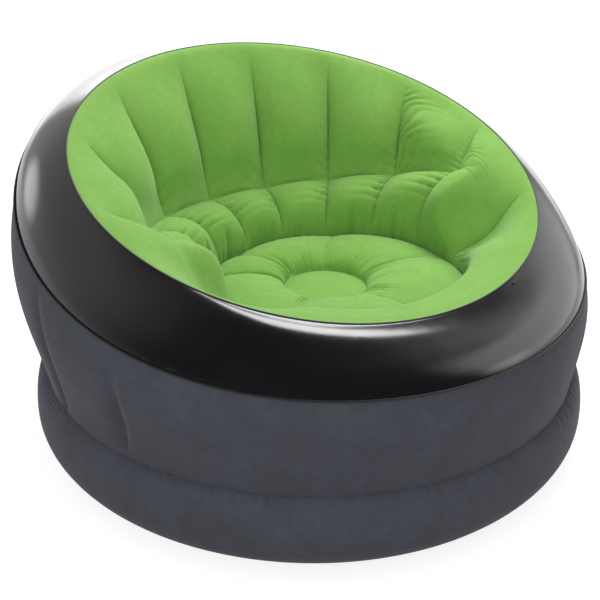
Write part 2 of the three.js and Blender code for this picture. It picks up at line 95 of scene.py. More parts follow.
# Shapes of the seat's panels. Pulls are shares of a panel that its curve follows before it
# bends.
SWELL_POWER = 0.6
CHANNEL_FOOT_PULL = 0.35
CHANNEL_CROWN_ROWS = (0.14, 1.14)
CHANNEL_FOOT_FADE = 0.25
FRONT_CHANNEL_CROWN = 0.35
BOLSTER_SHOULDER = 0.6
BOLSTER_FOOT_PULL = 0.55
FRONT_BOLSTER_PULL = 0.5
FRONT_BOLSTER_CROWN = 0.8
RING_WELD_CROWN = 0.72
FOOT_SPREAD = 0.85

# Where panels change, as the sine of the turn: -1 at the front centre, 1 at the back centre
CENTRE_ENDS = -0.85
FRONT_ENDS = -0.5
CREASE_BEGINS = (-0.16, 0.03)
# The break line's share of the run and drop from the lip to the seat edge, at the front
# centre and where the front ends
FRONT_BREAK_RUN = (0.55, 0.5)
FRONT_BREAK_DROP = (0.2, 0.56)

# Valve, about an axis that points out of the back
PAD_Y = 544
VALVE_CENTRE = (0, PAD_Y, BULGE_HEIGHT)
SLEEVE_HOLE = 18.3


# Numbers and curves

def lerp(start, end, share):
    return start + (end - start) * share


def smooth(low, high, value):
    share = np.clip((value - low) / (high - low), 0, 1)
    return share * share * (3 - 2 * share)


def crowded(even, crowding):
    """Even shares, moved closer together at both ends."""
    return lerp(even, 0.5 - 0.5 * np.cos(np.pi * even), crowding)


def shares(count, crowding=0.6):
    """Shares from 0 to 1 in a column, closer together at both ends."""
    return crowded(np.linspace(0, 1, count + 1), crowding)[:, None, None]


def gathers(count):
    """Height of cloth gathered at every whole number: 0 between gathers, -1 in them."""
    return np.sqrt(np.abs(np.sin(np.pi * count))) - 1


def uneven(turn, seed, lowest=2, highest=14):
    """A closed wavering line round the chair, about -1 to 1."""
    draw = np.random.default_rng(seed)
    waves = range(lowest, highest)
    line = sum(draw.normal() * np.sin(wave * turn + draw.uniform(0, FULL)) for wave in waves)
    return line / math.sqrt(len(waves))


def radial(turn):
    return np.stack([np.cos(turn), np.sin(turn), 0 * turn], -1)


def rising(turn, lean):
    """Direction that rises at an angle out of the floor, away from the chair's middle."""
    way = radial(turn) * math.cos(lean)
    way[..., 2] = math.sin(lean)
    return way


def bend(start, pull_start, pull_end, end, share):
    first = lerp(lerp(start, pull_start, share), lerp(pull_start, pull_end, share), share)
    last = lerp(lerp(pull_start, pull_end, share), lerp(pull_end, end, share), share)
    return lerp(first, last, share)


def length(vectors):
    return np.linalg.norm(vectors, axis=-1, keepdims=True)


def unit(vectors):
    return vectors / np.maximum(length(vectors), 1e-9)


# Weld lines

def oval(turn, side, depth, shift, height, back_rise=0, side_dip=0):
    rise = height + back_rise * np.sin(turn) - side_dip * np.cos(2 * turn)
    return np.stack([side * np.cos(turn), shift + depth * np.sin(turn), rise], -1)


def waist(turn):
    radius = BASE_RADIUS - WAIST_INSET
    return oval(turn, radius, radius, 0, WAIST_HEIGHT, WAIST_BACK_RISE)


def rim_seam(turn):
    return oval(turn, side=548, depth=517, shift=1, height=457, back_rise=166, side_dip=27)


def lip(turn):
    return oval(turn, side=462, depth=390, shift=-13, height=539, back_rise=155)


def seat_edge(turn):
    return oval(turn, side=266, depth=243, shift=-85, height=300)


def disc_edge(turn):
    return oval(turn, DISC_RADIUS, DISC_RADIUS, DISC_SHIFT, DISC_HEIGHT)


def weld_foot(turn):
    """Where a back weld ends on the seat edge: the welds draw together at the back."""
    aside = (np.degrees(turn) + 90) % 360 - 180
    last = CHANNEL_WELDS[-1]
    rest = (180 - last * FOOT_SPREAD) / (180 - last)
    foot = np.minimum(abs(aside), last) * FOOT_SPREAD + np.maximum(0, abs(aside) - last) * rest
    return seat_edge(np.radians(90 + np.sign(aside) * foot))


def back_fade(turn):
    """1 round the back and 0 over the front, with a change along the sides."""
    return smooth(FRONT_ENDS, 0, np.sin(turn))[..., None]


def break_line(turn):
    """The crease between channels and bolster, which rolls away over the front."""
    back = oval(turn, side=354, depth=315, shift=-47, height=466, back_rise=-83, side_dip=11)
    drawn_in = smooth(CENTRE_ENDS, FRONT_ENDS, np.sin(turn))
    run, drop = lerp(*FRONT_BREAK_RUN, drawn_in), lerp(*FRONT_BREAK_DROP, drawn_in)
    front = lip(turn)
    front = front + (weld_foot(turn) - front) * np.stack([run, run, drop], -1)
    return lerp(front, back, back_fade(turn))


def crease_fade(turn):
    """1 where channels and bolster meet in a crease, 0 at the front, where they are one."""
    return smooth(*CREASE_BEGINS, np.sin(turn))[..., None]


def swell(across):
    """How far a panel puffs out between two welds: 0 on them and 1 midway."""
    return np.maximum(0, np.sin(np.pi * across)) ** SWELL_POWER


def crown_way(start, end, turn):
    """Square to a panel's slope, towards the sitter."""
    out, slope = radial(turn), end - start
    way = out * slope[..., 2:]
    way[..., 2] = -np.sum(slope * out, -1)
    return unit(way)


# Panels. Each gives points by turn, share across its span and share down its rows.

def scalloped_break(turn, across):
    """The break line, pushed out between welds by the air behind it."""
    line = break_line(turn)
    beside = (np.sin(turn) < 0) & (np.sin(turn) > FRONT_ENDS)
    arch = np.where(beside[..., None], SIDE_ARCH, lerp(FRONT_ARCH, SCALLOP, crease_fade(turn)))
    arch = arch * swell(across)[:, None]
    return line + crown_way(lip(turn), line, turn) * arch


def channel(turn, across, share):
    top, foot = lip(turn), scalloped_break(turn, across)
    span = length(top - foot)
    size = np.minimum(1, span / FULL_CHANNEL)
    pull_top = top - radial(turn) * LIP_ROLL * size
    pull_foot = foot + (top - foot) * CHANNEL_FOOT_PULL
    along = np.maximum(0, np.sin(np.pi * smooth(*CHANNEL_CROWN_ROWS, share)))
    crown = CHANNEL_CROWN * size * swell(across)[:, None] * along
    crown = crown * smooth(0, CHANNEL_FOOT_FADE, 1 - share)
    crown = crown * lerp(FRONT_CHANNEL_CROWN, 1, crease_fade(turn))
    return bend(top, pull_top, pull_foot, foot, share) + crown_way(top, foot, turn) * crown


def bolster(turn, across, share):
    top, foot = scalloped_break(turn, across), weld_foot(turn)
    rise = UP * (top - foot)
    shoulder = (foot - top) * (1 - UP) * BOLSTER_SHOULDER
    pull_top = top + lerp((top - lip(turn)) * FRONT_BOLSTER_PULL, shoulder, crease_fade(turn))
    pull_foot = foot + rise * BOLSTER_FOOT_PULL
    # One low swell over the front. A lobe at the back fills at once and flattens at its foot.
    arc = np.maximum(0, np.sin(np.pi * share))
    arc = lerp(arc**2 * FRONT_BOLSTER_CROWN, arc**0.8 * (1 - share**4), crease_fade(turn))
    crown = BOLSTER_CROWN * swell(across)[:, None] * arc
    return bend(top, pull_top, pull_foot, foot, share) + crown_way(top, foot, turn) * crown


def wall(turn, dart, share):
    foot, top = waist(turn), rim_seam(turn)
    reach = length(foot - top) * WALL_FULLNESS
    pull_foot = foot + rising(turn, WALL_LEAN) * reach
    pull_top = top - rising(turn, math.pi / 2 - SEAM_LEAN) * reach
    press = DART_DEPTH * dart[..., None] * np.sin(np.pi * np.clip(share, 0, 1) ** DART_LOWNESS)
    return bend(foot, pull_foot, pull_top, top, share) - radial(turn) * press


def rim(turn, share):
    foot, top = rim_seam(turn), lip(turn)
    reach = length(foot - top)
    pull_foot = foot + rising(turn, math.pi / 2 - SEAM_LEAN) * reach * WALL_FULLNESS
    pull_top = top + rising(turn, LIP_LEAN) * reach * RIM_FULLNESS
    return bend(foot, pull_foot, pull_top, top, share)


def ring(turn, across, share):
    crown = UP * RING_CROWN * lerp(RING_WELD_CROWN, 1, swell(across))[:, None]
    outer, inner = seat_edge(turn), disc_edge(turn)
    return bend(outer, outer - radial(turn) * RING_FLANK + crown, inner + crown, inner, share)


# Meshes

COLUMN_CROWDING = 0.65


def span_columns(welds, counts):
    """Columns round a panel, closer together at each weld: their turns and their spans."""
    turns, across = [], []
    for start, end, count in zip(welds, welds[1:] + [welds[0] + 360], counts):
        share = crowded(np.arange(count) / count, COLUMN_CROWDING)
        turns.append(start + (end - start) * share)
        across.append(share)
    return np.radians(np.concatenate(turns)), np.concatenate(across)


def grid_normals(points, closed=True):
    if closed:
        along = np.roll(points, -1, 1) - np.roll(points, 1, 1)
    else:
        along = np.gradient(points, axis=1)
    return unit(np.cross(along, np.gradient(points, axis=0)))


def span_distances(points, across):
    """Distance on the surface to the weld before and the weld after, in millimetres."""
    steps = np.linalg.norm(np.roll(points, -1, 1) - points, axis=-1)
    starts = [*np.flatnonzero(across == 0), len(across)]
    after, before = np.zeros_like(steps), np.zeros_like(steps)
    for low, high in zip(starts, starts[1:]):
        run = np.cumsum(steps[:, low:high], 1)
        before[:, low + 1 : high] = run[:, :-1]
        after[:, low:high] = run[:, -1:] - before[:, low:high]
    return before, after


def placed(name, data):
    """A new object in the scene."""
    made = bpy.data.objects.new(name, data)
    bpy.context.scene.collection.objects.link(made)
    return made


@contextmanager
def editing(made):
    """A piece's mesh, open to edit and written back at the end."""
    shape = bmesh.new()
    shape.from_mesh(made.data)
    yield shape
    shape.to_mesh(made.data)
    shape.free()


def mesh_object(name, vertices, faces):
    mesh = bpy.data.meshes.new(name)
    mesh.from_pydata(np.asarray(vertices, float).tolist(), [], faces)
    mesh.validate()
    return placed(name, mesh)


def quads(*corners):
    """Faces of four corners, from arrays that hold one corner of each."""
    return np.stack(corners, -1).reshape(-1, 4).tolist()


def sheet_object(name, points, thickness, closed=True, pole=None):
    """A closed sheet of even thickness behind a grid of points in millimetres."""
    rows, count = points.shape[:2]
    normals = grid_normals(points, closed)
    inner = points - normals * thickness
    vertices = np.concatenate([points.reshape(-1, 3), inner.reshape(-1, 3)])
    index = np.arange(2 * rows * count).reshape(2, rows, count)
    if closed:
        index = np.concatenate([index, index[:, :, :1]], 2)
    front, back = index
    faces = quads(front[:-1, :-1], front[:-1, 1:], front[1:, 1:], front[1:, :-1])
    faces += quads(back[:-1, :-1], back[1:, :-1], back[1:, 1:], back[:-1, 1:])
    faces += quads(front[0, 1:], front[0, :-1], back[0, :-1], back[0, 1:])
    if pole is None:
        faces += quads(front[-1, :-1], front[-1, 1:], back[-1, 1:], back[-1, :-1])
    else:
        last = len(vertices)
        vertices = np.concatenate([vertices, [pole, np.subtract(pole, (0, 0, thickness))]])
        faces += [(a, b, last) for a, b in zip(front[-1, :-1].tolist(), front[-1, 1:].tolist())]
        faces += [(b, a, last + 1) for a, b in zip(back[-1, :-1].tolist(), back[-1, 1:].tolist())]
    if not closed:
        for side in (0, -1):
            edge = [front[1:, side], front[:-1, side], back[:-1, side], back[1:, side]]
            faces += quads(*(edge if side else edge[::-1]))
    return mesh_object(name, vertices * MM, faces)


def finish_piece(made, material, body, slot, *nodes, sharp=50):
    """Smooths a piece, gives it its material and its CAD body, and hides the CAD nodes it stands
    for. The slot is not used.
    """
    made.data.materials.clear()
    made.data.materials.append(material)
    made.data.polygons.foreach_set("use_smooth", [True] * len(made.data.polygons))
    made.data.set_sharp_from_angle(angle=math.radians(sharp))
    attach(made, body)
    if nodes:
        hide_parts(*nodes)
    return made


def plain_mesh(made):
    """Turns what a piece's modifiers make into its own mesh."""
    graph = bpy.context.evaluated_depsgraph_get()
    mesh = bpy.data.meshes.new_from_object(made.evaluated_get(graph))
    made.modifiers.clear()
    made.data = mesh
    return made


# Nodes and colours

# The kinds of node used most, and settings of theirs
MATH, MIX, RANGE = "ShaderNodeMath", "ShaderNodeMix", "ShaderNodeMapRange"
NOISE, BUMP, PLACE = "ShaderNodeTexNoise", "ShaderNodeBump", "ShaderNodeTexCoord"
PRINCIPLED, PAINT = "ShaderNodeBsdfPrincipled", "ShaderNodeOutputMaterial"
TIMES, TIMES_PLUS = {"operation": "MULTIPLY"}, {"operation": "MULTIPLY_ADD"}
MINUS, SOFT = {"operation": "SUBTRACT"}, {"interpolation_type": "SMOOTHSTEP"}
COLOURS = {"output": 2, "data_type": "RGBA"}


def add(tree, kind, inputs=None, output=0, **settings):
    """Adds one node, sets and links it, and returns one of its outputs."""
    made = tree.nodes.new(kind)
    for name, value in settings.items():
        setattr(made, name, value)
    for name, value in (inputs or {}).items():
        if isinstance(value, bpy.types.NodeSocket):
            tree.links.new(value, made.inputs[name])
        else:
            made.inputs[name].default_value = value
    return made.outputs[output] if len(made.outputs) else None


def linear(code):
    """An sRGB hex colour as linear light."""
    parts = [int(code[i : i + 2], 16) / 255 for i in (1, 3, 5)]
    return [p / 12.92 if p <= 0.04045 else ((p + 0.055) / 1.055) ** 2.4 for p in parts] + [1]


def new_material(name):
    material = bpy.data.materials.new(name)
    material.use_nodes = True
    material.node_tree.nodes.clear()
    return material, material.node_tree


def per_metre(size):
    """Noise scale that gives features of a size in millimetres."""
    return 1 / (size * MM)


def flocked_vinyl(name, pile, brushed, shaded, contrast, sheen):
    """Flocked PVC sheet: short rayon pile on vinyl, matt with a soft sheen at grazing angles,
    brushed by hands in lighter and darker patches. The pile is half a millimetre, too fine to
    show, so its grain is drawn at about 2 mm."""
    material, tree = new_material(name)
    place = add(tree, PLACE, output="Object")
    patch = add(tree, NOISE, {"Vector": place, "Scale": per_metre(75), "Detail": 5,
            "Roughness": 0.62, "Distortion": 0.6})
    patch = add(tree, RANGE, {"Value": patch, "From Min": 0.3, "From Max": 0.7})
    stroke = add(tree, NOISE, {"Vector": place, "Scale": per_metre(14), "Detail": 3,
            "Roughness": 0.6})
    stroke = add(tree, RANGE, {"Value": stroke, "From Min": 0.3, "From Max": 0.75,
            "To Max": contrast})
    nap = add(tree, NOISE, {"Vector": place, "Scale": per_metre(2.2), "Detail": 2,
            "Roughness": 0.7})
    colour = add(tree, MIX, {0: patch, 6: linear(pile), 7: linear(brushed)}, **COLOURS)
    colour = add(tree, MIX, {0: stroke, 6: colour, 7: linear(shaded)}, **COLOURS)
    fine = add(tree, BUMP, {"Strength": 0.35, "Distance": 0.5 * MM, "Height": nap})
    brush = add(tree, BUMP, {"Strength": 0.4, "Distance": 1.2 * MM, "Height": stroke,
            "Normal": fine})
    shader = add(tree, PRINCIPLED, {"Base Color": colour, "Roughness": 0.92, "Normal": brush,
            "Specular IOR Level": 0.15, "Sheen Weight": sheen, "Sheen Roughness": 0.45})
    add(tree, PAINT, {"Surface": shader})
    return material


def gloss_vinyl():
    """Calendered black PVC sheet, pumped tight: a wet-looking gloss that mirrors the room,
    with slow waves in the reflections and a little haze where it has been handled."""
    material, tree = new_material("gloss_black_vinyl")
    place = add(tree, PLACE, output="Object")
    wave = add(tree, NOISE, {"Vector": place, "Scale": per_metre(90), "Detail": 2})
    haze = add(tree, NOISE, {"Vector": place, "Scale": per_metre(30), "Detail": 5,
            "Roughness": 0.65})
    haze = add(tree, RANGE, {"Value": haze, "To Min": 0.12, "To Max": 0.2})
    bump = add(tree, BUMP, {"Strength": 0.25, "Distance": 2 * MM, "Height": wave})
    tone = add(tree, MIX, {0: wave, 6: linear("#0D0D10"), 7: linear("#16161A")}, **COLOURS)
    shader = add(tree, PRINCIPLED, {"Base Color": tone, "Roughness": haze, "Normal": bump,
            "IOR": 1.54, "Specular IOR Level": 0.5})
    add(tree, PAINT, {"Surface": shader})
    return material


def plain_vinyl(name, colour, worn, roughness, grain):
    """Vinyl or moulded plastic without pile: even colour, faint cloudiness, fine grain."""
    material, tree = new_material(name)
    place = add(tree, PLACE, output="Object")
    cloud = add(tree, NOISE, {"Vector": place, "Scale": per_metre(18), "Detail": 4})
    fine = add(tree, NOISE, {"Vector": place, "Scale": per_metre(grain), "Detail": 2})
    tone = add(tree, MIX, {0: cloud, 6: linear(colour), 7: linear(worn)}, **COLOURS)
    rough = add(tree, RANGE, {"Value": cloud, "To Min": roughness * 0.85,
            "To Max": roughness * 1.2})
    bump = add(tree, BUMP, {"Strength": 0.3, "Distance": 0.15 * MM, "Height": fine})
    shader = add(tree, PRINCIPLED, {"Base Color": tone, "Roughness": rough, "Normal": bump})
    add(tree, PAINT, {"Surface": shader})
    return material


green_flock = flocked_vinyl("green_flocked_vinyl", "#77A94B", "#83B056", "#69993E",
        contrast=0.4, sheen=0.2)
charcoal_flock = flocked_vinyl("charcoal_flocked_vinyl", "#484A51", "#50525B", "#3E4047",
        contrast=0.45, sheen=0.12)
black_gloss = gloss_vinyl()
# Weld edges pressed by hot bars lose the sheet's gloss
weld_black = plain_vinyl("welded_black_vinyl", "#101012", "#1A1A1D", roughness=0.62, grain=1.5)
# The lip's weld bead is thin, and its dark grey is a painted highlight for the light its edge
# catches, in place of black weld vinyl
lip_weld_painted_highlight = plain_vinyl("lip_weld_vinyl_painted_highlight", "#2E3032", "#3A3C3E", roughness=0.62, grain=1.5)
# Inner webs are plain calendered sheet, pale and satin
web_grey = plain_vinyl("inner_web_vinyl", "#8B8E92", "#9A9DA0", roughness=0.5, grain=1.2)
# The valve is moulded in soft PVC, satin from a polished mould
valve_grey = plain_vinyl("moulded_valve_pvc", "#55585C", "#62656A", roughness=0.42, grain=0.8)
# Seal and flap are rubber-like and matt
valve_rubber = plain_vinyl("valve_seal_rubber", "#1C1C1E", "#28282A", roughness=0.65, grain=0.6)


# Outer skins. Small forms are heights in millimetres that fade away at a panel's edges, so
# PUCKER is a height and PUCKERS their number down a panel. ROUND is a number round the chair.
# REACH and NEAR are millimetres from a weld. ROWS, IN and OUT are shares of the way down.

BACK_WELDS = [90 - turn for turn in reversed(CHANNEL_WELDS)]
BACK_WELDS += [90 + turn for turn in CHANNEL_WELDS]
LEANS = [DART_LEAN] + [0] * (len(BACK_WELDS) - 2) + [-DART_LEAN]
BACK_COLUMNS, FRONT_COLUMNS, RING_COLUMNS = 54, 170, 100
CHANNEL_ROWS, CHANNEL_CROWDING = 72, 0.3
BOLSTER_ROWS, BOLSTER_CROWDING = 64, 0.4
WALL_ROWS, RIM_ROWS, RING_ROWS, DISC_ROWS, FLOOR_ROWS = 40, 44, 40, 18, 12
TURN, ACROSS = span_columns(BACK_WELDS, [BACK_COLUMNS] * (len(BACK_WELDS) - 1) + [FRONT_COLUMNS])
RING_TURN, RING_ACROSS = span_columns(RING_WELDS, [RING_COLUMNS] * len(RING_WELDS))


def edge_fade(share, low, high):
    """0 on both edges of a panel, so that panels stay joined, and 1 inside."""
    return (smooth(0, low, share) * smooth(0, high, 1 - share))[..., 0]


def puffed(points, height):
    return points + grid_normals(points) * height[..., None]


ROLL_ENDS = 0.75


def crease_roll(from_edge, reach):
    """Fullness that rises steeply out of a creased edge and dies away across the panel."""
    return np.sqrt(np.clip(from_edge / reach, 0, 1)) * (1 - smooth(reach, ROLL_ENDS, from_edge))


def measures(points):
    """Distances to the weld before, the weld after, the nearer one and the one further from
    the back centre; then how far columns are round the back and creased."""
    before, after = span_distances(points, ACROSS)
    inward = np.where(np.sin(TURN - math.pi / 2) > 0, after, before)
    fades = back_fade(TURN)[:, 0], crease_fade(TURN)[:, 0]
    return before, after, np.minimum(before, after), inward, *fades


def waver(turn, row, height, *seed):
    """Slow unevenness along a panel, none at its edges."""
    return height * uneven(turn, *seed)[None] * np.sin(np.pi * row)


def gathers_round(turn, count, straying, seed):
    return gathers(turn * count / FULL + straying * uneven(turn, seed))[None]


def patches(turn, least, low, high, seed):
    """1 in some stretches of turns and a least share in others."""
    return lerp(least, 1, smooth(low, high, uneven(turn, seed)))[None]


# Channels
CHANNEL_WAVER = 1.1
CHANNEL_WAVE, CHANNEL_WAVE_RATE = 0.8, 9
CHANNEL_ROLL, CHANNEL_ROLL_ROWS = 5, 0.09
PUCKER, PUCKER_REACH, PUCKERS, PUCKER_ROWS = 1.2, 10, 13, (0.2, 0.4)
GATHER, GATHER_REACH, GATHERS, GATHER_ROWS = 3.2, 26, 14, (0.55, 0.9)
GATHER_SLANT = 60
# Welds with long wrinkles beside them: turn, depth, the row where they start and how many
# wrinkles they climb by
WRINKLED_WELDS = [(28.6, 6.5, 0.16, 3.3), (0.3, 5.0, 0.5, 4.2), (151.4, 2.5, 0.4, 1.5),
        (179.7, 2.2, 0.5, 1.5)]
WRINKLE_SPAN = 24
WRINKLES, WRINKLE_REACH, CLIMB_REACH = 8.5, 62, 48
STRAY, STRAY_RATE = 0.3, 19
WRINKLE_NEAR, WRINKLE_START = (-3, 9), 0.14


def channel_points():
    share = shares(CHANNEL_ROWS, CHANNEL_CROWDING)
    points = channel(TURN, ACROSS, share)
    row = share[..., 0]
    before, after, near, inward, round_back, creased = measures(points)
    height = waver(TURN, row, CHANNEL_WAVER, 3)
    wave = np.sin(row * CHANNEL_WAVE_RATE + 2 * uneven(TURN, 4)[None])
    height = height + CHANNEL_WAVE * wave * round_back
    roll = CHANNEL_ROLL * crease_roll(1 - row, CHANNEL_ROLL_ROWS)
    height += roll * creased * swell(ACROSS)[None]
    pucker = gathers(row * PUCKERS + 0.5 * uneven(TURN, 5)[None])
    height += PUCKER * pucker * np.exp(-near / PUCKER_REACH) * smooth(*PUCKER_ROWS, row)
    for weld, depth, top, climb in WRINKLED_WELDS:
        right = weld < 90
        side = after if right else before
        past = (weld - np.degrees(TURN)) * (1 if right else -1)
        own = ((past > 0) & (past < WRINKLE_SPAN))[None]
        strays = STRAY * np.sin(row * STRAY_RATE)
        climbed = climb * (1 - np.exp(-side / CLIMB_REACH))
        wrinkle = gathers(row * WRINKLES + strays + climbed)
        spread = np.exp(-((side / WRINKLE_REACH) ** 2)) * smooth(*WRINKLE_NEAR, side)
        spread = spread * smooth(top, top + WRINKLE_START, row)
        height += depth * wrinkle * spread * own
    gather = gathers(row * GATHERS + inward / GATHER_SLANT)
    gather = GATHER * gather * np.exp(-inward / GATHER_REACH) * smooth(*GATHER_ROWS, row)
    height += gather * round_back
    return puffed(points, height * edge_fade(share, 0.1, 0.03))


# Bolster lobes
LOBE_WAVER = 1.2
LOBE_ROLL, LOBE_ROLL_ROWS = 5, 0.07
LOBE_GATHER, LOBE_GATHER_REACH, LOBE_GATHERS, LOBE_SLANT = 7, 62, 8, 160
LOBE_NEAR, LOBE_IN, LOBE_OUT = (-4, 12), (0.02, 0.1), (0.35, 0.6)
# Welds whose front side is drawn into folds at the seat: turn and depth
FOLDED_WELDS = [(330, 3.5), (210, 1.5)]
FOLD_SPAN, FOLD_REACH, FOLDS = 60, 80, 5
FOLD_CLIMB, FOLD_CLIMB_REACH, FOLD_NEAR = 2.2, 60, (0, 14)
FOLDS_IN, FOLDS_OUT = (0.1, 0.3), (0.7, 0.9)
# Darts at the lobes' feet: turns, depth, half width in degrees and section
FOOT_DARTS = [15.3, 39.1, 116.4, 139.2]
FOOT_DART, HALF_WIDTH, DART_CURVE, FOOT_DART_ROWS = 6, 1.3, 1.3, (0.5, 0.72)
LOBE_PUCKER, LOBE_PUCKER_REACH, LOBE_PUCKERS = 1.5, 12, 7
FOOT_GATHER, FOOT_ROUND, FOOT_GATHER_ROWS = 4.2, 62, (0.6, 0.9)


def bolster_points():
    share = shares(BOLSTER_ROWS, BOLSTER_CROWDING)
    points = bolster(TURN, ACROSS, share)
    row = share[..., 0]
    before, after, near, inward, round_back, creased = measures(points)
    height = LOBE_ROLL * crease_roll(row, LOBE_ROLL_ROWS) * creased * swell(ACROSS)[None]
    gather = gathers(row * LOBE_GATHERS + inward / LOBE_SLANT
            + 0.2 * uneven(TURN, 6)[None])
    gather = gather * np.exp(-((inward / LOBE_GATHER_REACH) ** 2))
    gather = gather * smooth(*LOBE_NEAR, inward) * smooth(*LOBE_IN, row)
    height += LOBE_GATHER * gather * (1 - smooth(*LOBE_OUT, row)) * creased
    for weld, depth in FOLDED_WELDS:
        side = after if weld > 270 else before
        own = (np.abs((np.degrees(TURN) % 360) - 270) < FOLD_SPAN)[None]
        climbed = FOLD_CLIMB * (1 - np.exp(-side / FOLD_CLIMB_REACH))
        fold = gathers(row * FOLDS + climbed)
        spread = np.exp(-((side / FOLD_REACH) ** 2)) * smooth(*FOLD_NEAR, side)
        height += (depth * fold * spread * smooth(*FOLDS_IN, row)
                * (1 - smooth(*FOLDS_OUT, row)) * own)
    for dart in FOOT_DARTS:
        aside = (np.degrees(TURN) - dart) / HALF_WIDTH
        section = np.exp(-np.abs(aside) ** DART_CURVE)[None]
        height -= FOOT_DART * section * smooth(*FOOT_DART_ROWS, row)
    pucker = gathers(row * LOBE_PUCKERS + 0.6 * uneven(TURN, 8)[None])
    height += LOBE_PUCKER * pucker * np.exp(-near / LOBE_PUCKER_REACH) * round_back
    foot = gathers_round(TURN, FOOT_ROUND, 0.9, 9)
    size = patches(TURN, 0.5, -0.4, 0.8, 10)
    height += FOOT_GATHER * foot * smooth(*FOOT_GATHER_ROWS, row) * size
    height += waver(TURN, row, LOBE_WAVER, 11)
    return puffed(points, height * edge_fade(share, 0.04, 0.04))


# Outer wall, gathered at its foot and its top
WALL_WAVER, WALL_ROUND = 1.6, 150
WALL_FOOT_GATHER, WALL_FOOT_ROWS = 2.2, (0.02, 0.16)
WALL_TOP_GATHER, WALL_TOP_ROWS = 1.5, (0.9, 0.985)


def wall_points():
    darts = [weld + lean for weld, lean in zip(BACK_WELDS, LEANS)]
    share = shares(WALL_ROWS)
    row = share[..., 0]
    swung = DART_SWING * (1 - row) ** 2 * np.sign(np.cos(TURN))[None]
    away = [np.abs((np.degrees(TURN) - swung - dart + 180) % 360 - 180) for dart in darts]
    per_degree = math.radians(1) * BASE_RADIUS
    dart = sum(np.exp(-np.abs(one * per_degree / DART_WIDTH) ** DART_SECTION) for one in away)
    points = wall(TURN, dart, share)
    fine = gathers_round(TURN, WALL_ROUND, 1.3, 12)
    size = patches(TURN, 0.35, -0.6, 1, 13)
    height = WALL_FOOT_GATHER * fine * size * (1 - smooth(*WALL_FOOT_ROWS, row))
    height += WALL_TOP_GATHER * fine * size * smooth(*WALL_TOP_ROWS, row)
    height += waver(TURN, row, WALL_WAVER, 14)
    return puffed(points, height * edge_fade(share, 0.015, 0.015))


# Rim, with a shoulder that is fullest between two stretches of turns
RIM_WAVER = 1.3
RIM_GATHER, RIM_ROUND, RIM_GATHER_ROWS = 0.3, 120, (0.01, 0.07)
SHOULDER_FROM, SHOULDER_TO, SHOULDER_ROW, SHOULDER_LEAST = (198, 228), (258, 292), 0.45, 0.2


def rim_points():
    share = shares(RIM_ROWS)
    points = rim(TURN, share)
    row = share[..., 0]
    fine = gathers_round(TURN, RIM_ROUND, 1.1, 15)
    size = patches(TURN, 0.3, -0.5, 1, 16)
    height = RIM_GATHER * fine * size * (1 - smooth(*RIM_GATHER_ROWS, row))
    degrees = np.degrees(TURN) % 360
    full = smooth(*SHOULDER_FROM, degrees) * (1 - smooth(*SHOULDER_TO, degrees))
    rise = np.clip((row - SHOULDER_ROW) / (1 - SHOULDER_ROW), 0, 1)
    height = height + RIM_SHOULDER * lerp(SHOULDER_LEAST, 1, full)[None] * rise**2 * (1 - rise)
    height += waver(TURN, row, RIM_WAVER, 17, 2, 9)
    return puffed(points, height * edge_fade(share, 0.012, 0.02))


# Seat ring, gathered at both edges and most of all beside its welds
RING_WAVER, RING_FAN, RING_FAN_REACH = 1.0, 1.3, 34
RING_INNER, RING_INNER_ROUND, RING_INNER_ROWS = 4.2, 46, (0.4, 0.8)
RING_OUTER, RING_OUTER_ROUND, RING_OUTER_ROWS = 4.0, 58, (0.05, 0.45)
RING_PUCKER, RING_PUCKERS, RING_PUCKER_REACH = 1.6, 5, 14


def ring_inner_gathers():
    """The gathers of the seat centre's edge, which the ring and the centre share."""
    return gathers_round(RING_TURN, RING_INNER_ROUND, 1.0, 22)


def ring_points():
    share = shares(RING_ROWS)
    points = ring(RING_TURN, RING_ACROSS, share)
    row = share[..., 0]
    before, after = span_distances(points, RING_ACROSS)
    near = np.minimum(before, after)
    denser = patches(RING_TURN, 0.35, -0.5, 0.9, 21)
    fan = 0.5 + RING_FAN * np.exp(-near / RING_FAN_REACH)
    height = RING_INNER * ring_inner_gathers() * denser * fan * smooth(*RING_INNER_ROWS, row)
    outer = gathers_round(RING_TURN, RING_OUTER_ROUND, 1.2, 23)
    height += RING_OUTER * outer * denser * fan * (1 - smooth(*RING_OUTER_ROWS, row))
    height += RING_PUCKER * gathers(row * RING_PUCKERS) * np.exp(-near / RING_PUCKER_REACH)
    height += waver(RING_TURN, row, RING_WAVER, 24)
    return puffed(points, height * edge_fade(share, 0.04, 0.04))


# Seat centre and bottom, whose rows stop short of the pole that closes them
DISC_GATHER, DISC_GATHER_ROWS, DISC_STOP, FLOOR_STOP = 0.9, (0.02, 0.3), 0.97, 0.96


def disc_points():
    share = shares(DISC_ROWS)
    centre = np.array([0, DISC_SHIFT, DISC_HEIGHT])
    points = lerp(disc_edge(RING_TURN), centre, share * DISC_STOP)
    out = 1 - share * DISC_STOP
    points = points + UP * DISC_CROWN * (1 - out**2)
    height = DISC_GATHER * ring_inner_gathers() * (1 - smooth(*DISC_GATHER_ROWS, share[..., 0]))
    return puffed(points, height * smooth(0, 0.04, share)[..., 0])


def floor_points():
    share = np.linspace(0, 1, FLOOR_ROWS)[:, None, None]
    radius = (BASE_RADIUS - FOOT_INSET) * (1 - share * FLOOR_STOP)
    return radial(TURN) * radius + UP * FLOCKED


channels = channel_points()
lobes = bolster_points()
outer_wall = wall_points()
seat_ring = ring_points()

GREEN, CHARCOAL = (green_flock, "green_flock"), (charcoal_flock, "charcoal_flock")
